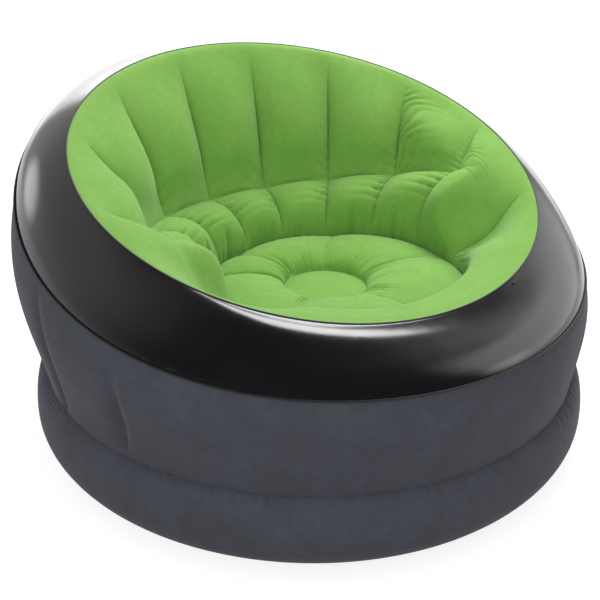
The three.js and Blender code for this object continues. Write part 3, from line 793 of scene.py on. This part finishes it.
# Name, points, thickness, material and slot, CAD node, middle point and share of fill
PANELS = [
    ("backrest_channels", channels, FLOCKED, GREEN, "backrest_skin", None, 0.95),
    ("bolster_lobes", lobes, FLOCKED, GREEN, "bolster_skin", None, 0.9),
    ("seat_ring_pad", seat_ring, FLOCKED, GREEN, "seat_ring_skin", None, 0.9),
    ("seat_centre_pad", disc_points(), FLOCKED, GREEN, "seat_centre_skin",
     (0, DISC_SHIFT, DISC_HEIGHT + DISC_CROWN), 0.7),
    ("outer_wall", outer_wall, FLOCKED, CHARCOAL, "side_wall_skin", None, None),
    ("gloss_rim", rim_points(), GLOSS, (black_gloss, "gloss_vinyl"), "rim_skin", None, None),
    ("floor_sheet", floor_points(), FLOCKED, CHARCOAL, "bottom_sheet",
     (0, 0, FLOCKED), None)]
for name, points, thickness, (material, slot), node, middle, fill in PANELS:
    panel = sheet_object(name, points, thickness, pole=middle)
    finish_piece(panel, material, BODY, slot, node)


# Geometry Nodes trees

def new_tree(name, inputs):
    """A tree with one mesh in, one mesh out, and named inputs for its sizes."""
    tree = bpy.data.node_groups.new(name, "GeometryNodeTree")
    for side in ("OUTPUT", "INPUT"):
        tree.interface.new_socket("Geometry", in_out=side, socket_type="NodeSocketGeometry")
    for label, value in inputs.items():
        kind = "NodeSocketInt" if isinstance(value, int) else "NodeSocketFloat"
        tree.interface.new_socket(label, in_out="INPUT", socket_type=kind).default_value = value
    return tree, tree.nodes.new("NodeGroupInput").outputs


def close_tree(tree, geometry, material):
    """Ends a tree in real, smooth mesh with its material."""
    real = add(tree, "GeometryNodeRealizeInstances", {"Geometry": geometry})
    painted = add(tree, "GeometryNodeSetMaterial", {"Geometry": real, "Material": material})
    add(tree, "NodeGroupOutput", {0: painted})


def grown(name, tree, values, points=(), edges=()):
    """Runs a tree on points in metres, its inputs set by identifier, and keeps plain mesh."""
    mesh = bpy.data.meshes.new(name)
    mesh.from_pydata([tuple(p) for p in points], list(edges), [])
    made = placed(name, mesh)
    modifier = made.modifiers.new(tree.name, "NODES")
    modifier.node_group = tree
    for item in tree.interface.items_tree:
        if item.in_out == "INPUT" and item.name in values:
            modifier[item.identifier] = values[item.name]
    return plain_mesh(made)


FOOT_RING = {
    "Radius": BASE_RADIUS * MM, "Foot inset": FOOT_INSET * MM, "Waist inset": WAIST_INSET * MM,
    "Bulge height": BULGE_HEIGHT * MM, "Waist height": WAIST_HEIGHT * MM,
    "Waist back rise": WAIST_BACK_RISE * MM, "Pad distance": PAD_Y * MM,
    "Pleat depth": 7.5 * MM, "Pleats round": 150.0, "Pleat seed": 4.0, "Columns": 1401, "Rows": 31}
# Its pleats: how far they stray, how full they are between folds, the least share of their
# depth, and the section's angles where they begin, are whole and end
PLEAT_WAVER, PLEAT_FULLNESS, PLEAT_LEAST = 9.0, 0.5, 0.25
PLEAT_LIFTS, PLEAT_ENDS = (0.7, 1.35), 1.5


def ring_tree():
    """The foot ring: a grid rolled round the chair, with pleats drawn in under the waist."""
    tree, given = new_tree("foot_ring", FOOT_RING)
    grid = add(tree, "GeometryNodeMeshGrid", {"Size X": 1.0, "Size Y": 1.0,
            "Vertices X": given["Columns"], "Vertices Y": given["Rows"]})
    place = add(tree, "GeometryNodeInputPosition")
    parts = add(tree, "ShaderNodeSeparateXYZ", {0: place}).node.outputs
    turn = add(tree, MATH, {0: parts[0], 1: FULL}, **TIMES)
    lift = add(tree, MATH, {0: parts[1], 1: math.pi}, **TIMES)
    sine, cosine, rise, bulge = [
        add(tree, MATH, {0: angle}, operation=curve)
        for angle in (turn, lift) for curve in ("SINE", "COSINE")]
    draw = add(tree, MATH, {0: 1.0, 1: bulge}, **MINUS)
    upper = add(tree, MATH, {0: lift, 1: 0.0}, operation="GREATER_THAN")
    back = add(tree, MATH, {0: sine, 1: given["Waist back rise"], 2: given["Waist height"]},
            **TIMES_PLUS)
    above = add(tree, MATH, {0: back, 1: given["Bulge height"]}, **MINUS)
    inset = add(tree, MIX, {0: upper, 2: given["Foot inset"], 3: given["Waist inset"]})
    reach = add(tree, MIX, {0: upper, 2: given["Bulge height"], 3: above})
    height = add(tree, MATH, {0: rise, 1: reach, 2: given["Bulge height"]}, **TIMES_PLUS)
    circle = add(tree, "ShaderNodeCombineXYZ", {0: cosine, 1: sine, 2: given["Pleat seed"]})
    waver = add(tree, NOISE, {"Vector": circle, "Scale": 2.5, "Detail": 2.0})
    spread = add(tree, MATH, {0: waver, 1: PLEAT_WAVER}, **TIMES)
    count = add(tree, MATH, {0: parts[0], 1: given["Pleats round"], 2: spread}, **TIMES_PLUS)
    half = add(tree, MATH, {0: count, 1: math.pi}, **TIMES)
    wave = add(tree, MATH, {0: half}, operation="SINE")
    fold = add(tree, MATH, {0: wave}, operation="ABSOLUTE")
    full = add(tree, MATH, {0: fold, 1: PLEAT_FULLNESS}, operation="POWER")
    pleat = add(tree, MATH, {0: 1.0, 1: full}, **MINUS)
    patch = add(tree, NOISE, {"Vector": circle, "Scale": 1.6, "Detail": 3.0})
    patch = add(tree, RANGE, {"Value": patch, "From Min": 0.35, "From Max": 0.62,
            "To Min": PLEAT_LEAST})
    window = add(tree, RANGE, {"Value": lift, "From Min": PLEAT_LIFTS[0],
            "From Max": PLEAT_LIFTS[1]}, **SOFT)
    edge = add(tree, RANGE, {"Value": lift, "From Min": PLEAT_ENDS,
            "From Max": math.pi / 2, "To Min": 1.0, "To Max": 0.0})
    depth = add(tree, MATH, {0: pleat, 1: given["Pleat depth"]}, **TIMES)
    for share in (patch, window, edge):
        depth = add(tree, MATH, {0: depth, 1: share}, **TIMES)
    drawn = add(tree, MATH, {0: inset, 1: draw, 2: depth}, **TIMES_PLUS)
    radius = add(tree, MATH, {0: given["Radius"], 1: drawn}, **MINUS)
    across = add(tree, MATH, {0: radius, 1: cosine}, **TIMES)
    along = add(tree, MATH, {0: radius, 1: sine}, **TIMES)
    padded = add(tree, MATH, {0: along, 1: given["Pad distance"]}, operation="MINIMUM")
    point = add(tree, "ShaderNodeCombineXYZ", {0: across, 1: padded, 2: height})
    rolled = add(tree, "GeometryNodeSetPosition", {"Geometry": grid, "Position": point})
    joined = add(tree, "GeometryNodeMergeByDistance", {"Geometry": rolled, "Distance": 0.01 * MM})
    close_tree(tree, joined, charcoal_flock)
    return tree


def cord_tree():
    """A weld bead: a round section that follows a line of edges."""
    tree, given = new_tree("weld_bead", {"Radius": 0.0, "Sides": 0})
    line = add(tree, "GeometryNodeMeshToCurve", {"Mesh": given["Geometry"]})
    section = add(tree, "GeometryNodeCurvePrimitiveCircle",
            {"Resolution": given["Sides"], "Radius": given["Radius"]})
    tube = add(tree, "GeometryNodeCurveToMesh",
            {"Curve": line, "Profile Curve": section, "Fill Caps": True})
    close_tree(tree, tube, weld_black)
    return tree


def rib_tree():
    """Grip ribs: one small round rib, repeated round a moulded head."""
    tree, given = new_tree("grip_ribs", {"Ring radius": 0.0, "Rib radius": 0.0, "Rib length": 0.0,
            "Ribs": 0})
    circle = add(tree, "GeometryNodeMeshCircle",
            {"Vertices": given["Ribs"], "Radius": given["Ring radius"]})
    rib = add(tree, "GeometryNodeMeshCylinder",
            {"Vertices": 8, "Radius": given["Rib radius"], "Depth": given["Rib length"]})
    ribs = add(tree, "GeometryNodeInstanceOnPoints", {"Points": circle, "Instance": rib})
    turned = add(tree, "GeometryNodeTransform",
            {"Geometry": ribs, "Rotation": (-math.pi / 2, 0, 0)})
    close_tree(tree, turned, valve_grey)
    return tree


# Foot ring, with the hole that the valve's sleeve passes through
foot_ring = grown("foot_ring", ring_tree(), FOOT_RING)
cutter = mesh_object("cutter", [], [])
with editing(cutter) as shape:
    bmesh.ops.create_cone(
        shape, cap_ends=True, segments=64, radius1=SLEEVE_HOLE * MM, radius2=SLEEVE_HOLE * MM,
        depth=40 * MM, matrix=Matrix.Translation([c * MM for c in VALVE_CENTRE])
        @ Matrix.Rotation(math.pi / 2, 4, "X"))
wall_maker = foot_ring.modifiers.new("sheet", "SOLIDIFY")
wall_maker.thickness = FLOCKED * MM
wall_maker.offset = -1
hole = foot_ring.modifiers.new("hole", "BOOLEAN")
hole.operation = "DIFFERENCE"
hole.solver = "EXACT"
hole.object = cutter
plain_mesh(foot_ring)
bpy.data.objects.remove(cutter)
finish_piece(foot_ring, charcoal_flock, BODY, "charcoal_flock", "base_ring_skin")


# Weld beads

def bead(name, line, radius, material, node):
    """A weld bead that closes on itself."""
    count = len(line)
    edges = [(i, (i + 1) % count) for i in range(count)]
    sizes = {"Radius": radius * MM, "Sides": 12}
    made = grown(name, cord_tree(), sizes, line * MM, edges)
    return finish_piece(made, material, BODY, "weld_vinyl", node, sharp=80)


# Radii of the beads, and how far they stand proud of their welds
SEAM_BEAD, LIP_BEAD, LAP_BEAD = 2.2, 1.3, 1.4
SEAM_PROUD, LIP_PROUD, LAP_PROUD = 1.1, 0.3, 1.6

seam_line = rim_seam(TURN) + rising(TURN, -SEAM_LEAN) * SEAM_PROUD
bead("rim_weld", seam_line, SEAM_BEAD, weld_black, "rim_weld_bead")
# The lip bead's dark grey is a painted highlight
bead("lip_weld", lip(TURN) + UP * LIP_PROUD, LIP_BEAD, lip_weld_painted_highlight, "lip_weld_bead")
lap = np.linspace(0, 1, 30)
lap_turn = np.radians(lerp(*LAP_TURNS, lap))
lap_line = rim(lap_turn, lerp(*LAP_ROWS, lap)[:, None]) + UP * LAP_PROUD
lap_weld = grown("rim_lap_weld", cord_tree(), {"Radius": LAP_BEAD * MM, "Sides": 12},
        lap_line * MM, [(i, i + 1) for i in range(len(lap) - 1)])
finish_piece(lap_weld, weld_black, BODY, "weld_vinyl", sharp=80)


# Inner webs, which hold the welds in. They stand a little behind the skins.

WEB_SETBACK, WEB_FLOOR_GAP = 3, 1
WEB_ROWS, WEB_COLUMNS = 24, 40


def behind(points):
    return points - grid_normals(points) * WEB_SETBACK


def evened(edge):
    """An edge as the same number of points for every web."""
    own, even = np.linspace(0, 1, len(edge)), np.linspace(0, 1, WEB_COLUMNS)
    return np.stack([np.interp(even, own, edge[:, axis]) for axis in range(3)], -1)


def web(name, front, rear, node):
    grid = lerp(evened(front), evened(rear), shares(WEB_ROWS, 0))
    made = sheet_object(name, grid, WEB, closed=False)
    return finish_piece(made, web_grey, BODY, "web_vinyl", node)


inner_channels, inner_lobes = behind(channels), behind(lobes)
inner_wall, inner_ring = behind(outer_wall), behind(seat_ring)
channel_shares = shares(CHANNEL_ROWS, CHANNEL_CROWDING)[:, 0, 0]
web_start = np.searchsorted(channel_shares, CHANNEL_CROWN_ROWS[0])
for number, (column, lean) in enumerate(zip(np.flatnonzero(ACROSS == 0), LEANS), 1):
    front = np.concatenate([inner_channels[web_start:, column], inner_lobes[1:-1, column]])
    turn = (TURN[column] + math.radians(lean)) % FULL
    target = np.argmin(np.abs((TURN % FULL) - turn))
    web(f"back_web_sheet_{number}", front, inner_wall[-6:5:-1, target], f"back_web_{number}")
for number, column in enumerate(np.flatnonzero(RING_ACROSS == 0), 1):
    front = inner_ring[4:-4, column]
    floor = np.linspace(front[0], front[-1], len(front))
    floor[:, 2] = FLOCKED + WEB_FLOOR_GAP
    web(f"seat_web_sheet_{number}", front, floor, f"seat_web_{number}")

# The tether and the waist band, just off the bottom sheet and drawn in a little at the sides
floor_top = FLOCKED + 0.3
tether_rows = np.linspace(floor_top, DISC_HEIGHT - 2, 16)[:, None, None]
tether = disc_edge(RING_TURN) * np.array([0.985, 1, 0]) + UP * tether_rows
band_rows = np.linspace(floor_top, WAIST_WEB_WIDTH, 10)[:, None, None]
band = waist(TURN) - radial(TURN) * band_rows
for name, points, node in (("centre_tether_sleeve", tether, "centre_tether"),
        ("waist_web_band", band, "waist_web")):
    sleeve = sheet_object(name, points, WEB)
    finish_piece(sleeve, web_grey, BODY, "web_vinyl", node)


# Valve

def rounded(profile, radius=0.35):
    """A closed outline with its corners eased."""
    eased = []
    outline = [np.array(p, float) for p in profile]
    for i, corner in enumerate(outline):
        for other in (outline[i - 1], outline[(i + 1) % len(outline)]):
            way = other - corner
            eased.append(corner + way * min(radius / np.linalg.norm(way), 0.4))
    return eased


def turned_ring(name, profile, segments=96):
    """A closed outline of radius and height, turned about the valve's axis."""
    outline = np.array(rounded(profile))
    turns = np.linspace(0, FULL, segments, endpoint=False)[None, :]
    radius, height = outline[:, :1], outline[:, 1:]
    grid = np.stack([radius * np.sin(turns), height + 0 * turns, radius * np.cos(turns)], -1)
    grid = grid + np.array(VALVE_CENTRE)
    rows = len(outline)
    index = np.arange(rows * segments).reshape(rows, segments)
    over, beside = np.roll(index, -1, 0), np.roll(index, -1, 1)
    faces = quads(index, beside, np.roll(over, -1, 1), over)
    return outward(mesh_object(name, grid.reshape(-1, 3) * MM, faces))


def outward(made):
    """Welds a mesh's seams and turns its faces outward."""
    with editing(made) as shape:
        bmesh.ops.remove_doubles(shape, verts=shape.verts, dist=0.001 * MM)
        bmesh.ops.recalc_face_normals(shape, faces=shape.faces)
    return made


def block(name, low, high, ease):
    """A moulded bar between two corners about the valve's centre, with eased edges."""
    made = mesh_object(name, [], [])
    centre = [(a + b) / 2 + c for a, b, c in zip(low, high, VALVE_CENTRE)]
    with editing(made) as shape:
        bmesh.ops.create_cube(shape, size=1)
        for vertex in shape.verts:
            vertex.co = [(c + v * (b - a)) * MM
                    for c, v, a, b in zip(centre, vertex.co, low, high)]
        bmesh.ops.bevel(shape, geom=shape.edges, offset=ease * MM, segments=3, affect="EDGES")
    return made


def joined(first, *others):
    """Joins pieces into the first one's mesh."""
    with editing(first) as shape:
        for made in others:
            shape.from_mesh(made.data)
            bpy.data.objects.remove(made)
    return first


# Outlines of the valve's turned pieces: radius, and height over the chair's side
valve_body = turned_ring("valve_body", [
    (15, -14), (18, -14), (18, 0.3), (30, 0.3), (30, 1.1), (28, 2.3), (20.5, 2.3), (20, 3.2),
    (20, 6.8), (20.4, 7.2), (20, 8.3), (15, 8.3)])
finish_piece(valve_body, valve_grey, BODY, "valve_plastic", "valve_base", sharp=40)
seal = turned_ring("valve_o_ring", [
    (16.5, 9.0), (16.8, 8.7), (17.5, 8.6), (18.2, 8.7), (18.5, 9.2), (18.2, 9.7), (17.5, 9.8),
    (16.8, 9.7), (16.5, 9.4)])
finish_piece(seal, valve_rubber, BODY, "valve_rubber", "valve_seal", sharp=80)
plug = turned_ring("valve_stopper", [
    (8, -11.7), (14.2, -11.7), (14.7, -10.5), (14.7, 10.1), (21, 10.1), (21, 12.4), (20.1, 13.3),
    (13.4, 13.3), (13.0, 12.9), (8.6, 12.9), (8, 12.5)])
plug = joined(plug, block("lug", (-4.5, 13.0, 18.8), (4.5, 14.9, 20.6), 0.3))
finish_piece(plug, valve_grey, "plug", "valve_plastic", "valve_plug", sharp=40)
flap = turned_ring("check_flap_disc", [
    (0.05, -12.8), (9.6, -12.8), (9.6, -12.0), (0.05, -12.0)], segments=48)
finish_piece(flap, valve_rubber, "flap", "valve_rubber", "check_flap", sharp=40)
cap = turned_ring("valve_cap_lid", [
    (0.05, 9.1), (6.9, 9.1), (7.7, 13.6), (12, 13.6), (12, 15.5), (11.4, 16.2), (9.6, 16.2),
    (9.1, 15.7), (0.05, 15.7)])
cap = joined(cap, block("strap", (-4.5, 13.65, 11), (4.5, 14.75, 18.6), 0.25),
        block("tab", (-3.2, 13.8, -15.6), (3.2, 15.3, -11.2), 0.4))
finish_piece(cap, valve_grey, "cap", "valve_plastic", "valve_cap", sharp=40)
ribs = grown("stopper_grip", rib_tree(), {
    "Ring radius": 21 * MM, "Rib radius": 0.7 * MM, "Rib length": 2.0 * MM, "Ribs": 40})
ribs.data.transform(Matrix.Translation([VALVE_CENTRE[0], (PAD_Y + 11.5) * MM, BULGE_HEIGHT * MM]))
finish_piece(ribs, valve_grey, "plug", "valve_plastic", sharp=40)


# Camera, floor and light

# The camera fitted to the photo: its right, up and back, and its place in metres
CAMERA_AXES = (0.8040, -0.5945, 0.0084), (0.2514, 0.3528, 0.9013), (-0.5388, -0.7226, 0.4331)
CAMERA_PLACE = (-1.0024, -1.3119, 1.0349)
camera_data = bpy.data.cameras.new("photo_camera")
camera_data.sensor_width = 36
camera_data.lens = 53.967
camera_data.clip_end = 60
camera = placed("photo_camera", camera_data)
camera.matrix_world = Matrix([*zip(*CAMERA_AXES, CAMERA_PLACE), (0, 0, 0, 1)])
bpy.context.scene.camera = camera

# Strength of the floor where the camera sees it, of the world's light on the chair, and of
# the dark surround that the gloss mirrors
FLOOR_GLOW, AMBIENT, GLOSS_SURROUND = 0.78, 0.62, 0.06
FLOOR_REACH, FLOOR_DROP = 14, 0.0005
# Pools of light that only the gloss mirrors: turn, rise, edge and core in degrees, strength
GLOSS_LIGHTS = [(50, -12, 42, 36, 2.4), (-19, 22, 38, 24, 2.1), (-45, 12, 12, 3, 1.3),
        (125, 32, 66, 25, 0.7), (109, 9, 12, 4, 2.4)]


def rays_of(tree, *kinds):
    """1 for rays of the named kinds and 0 for others."""
    rays = add(tree, "ShaderNodeLightPath").node.outputs
    found = rays[kinds[0]]
    for kind in kinds[1:]:
        found = add(tree, MATH, {0: found, 1: rays[kind]}, operation="MAXIMUM")
    return found


def studio_floor():
    """White paper sweep. What the camera sees of it is white, with the chair's soft shadow."""
    material, tree = new_material("white_studio_paper")
    seen = rays_of(tree, "Is Camera Ray", "Is Glossy Ray", "Is Transmission Ray")
    strength = add(tree, MATH, {0: seen, 1: FLOOR_GLOW}, **TIMES)
    paper = add(tree, "ShaderNodeBsdfDiffuse", {"Color": linear("#B4B4B4")})
    glow = add(tree, "ShaderNodeEmission", {"Color": linear("#FFFFFF"), "Strength": strength})
    both = add(tree, "ShaderNodeAddShader", {0: paper, 1: glow})
    add(tree, PAINT, {"Surface": both})
    corners = [(x * FLOOR_REACH, y * FLOOR_REACH, -FLOOR_DROP)
            for x, y in ((-1, -1), (1, -1), (1, 1), (-1, 1))]
    floor = mesh_object("studio_floor", corners, [(0, 1, 2, 3)])
    floor.data.materials.append(material)


def softbox(name, place, target, width, height, power, in_gloss=True):
    """A lamp in metres and watts, aimed at a point. The gloss need not mirror it."""
    data = bpy.data.lights.new(name, "AREA")
    data.shape = "RECTANGLE"
    data.size, data.size_y, data.energy = width, height, power
    lamp = placed(name, data)
    lamp.visible_glossy = in_gloss
    aim = (Vector(place) - Vector(target)).to_track_quat("Z", "Y")
    lamp.matrix_world = Matrix.Translation(place) @ aim.to_matrix().to_4x4()


def studio_world():
    """Even light all round, white to the camera. The gloss mirrors a dark surround with pools
    of light instead, like a studio's few soft lamps."""
    world = bpy.data.worlds.new("studio_world")
    world.use_nodes = True
    tree = world.node_tree
    tree.nodes.clear()
    seen = rays_of(tree, "Is Camera Ray", "Is Transmission Ray")
    strength = add(tree, RANGE, {"Value": seen, "To Min": AMBIENT, "To Max": 1.0})
    way = add(tree, PLACE, output="Generated")
    mirrored = GLOSS_SURROUND
    for turn, rise, edge, core, bright in GLOSS_LIGHTS:
        aim = rising(np.radians(turn), math.radians(rise)).tolist()
        facing = add(tree, "ShaderNodeVectorMath", {0: way, 1: aim}, output=1,
                operation="DOT_PRODUCT")
        pool = add(tree, RANGE, {"Value": facing, "From Min": math.cos(math.radians(edge)),
                "From Max": math.cos(math.radians(core)), "To Max": bright}, **SOFT)
        mirrored = add(tree, MATH, {0: mirrored, 1: pool}, operation="ADD")
    glossy = rays_of(tree, "Is Glossy Ray")
    strength = add(tree, MIX, {0: glossy, 2: strength, 3: mirrored})
    light = add(tree, "ShaderNodeBackground", {"Color": linear("#FFFFFF"), "Strength": strength})
    add(tree, "ShaderNodeOutputWorld", {"Surface": light})
    bpy.context.scene.world = world


studio_floor()
studio_world()
middle = (0, 0, 0.3)
softbox("key_softbox", (1.3, 1.3, 2.3), middle, width=1.3, height=1.0, power=42)
softbox("top_softbox", (1.05, 0.15, 2.4), (1.05, 0.15, 0.3), width=1.0, height=0.6, power=26)
softbox("front_fill", (-1.9, -1.7, 1.2), middle, width=1.6, height=1.6, power=17, in_gloss=False)
bpy.context.scene.view_settings.view_transform = "Standard"
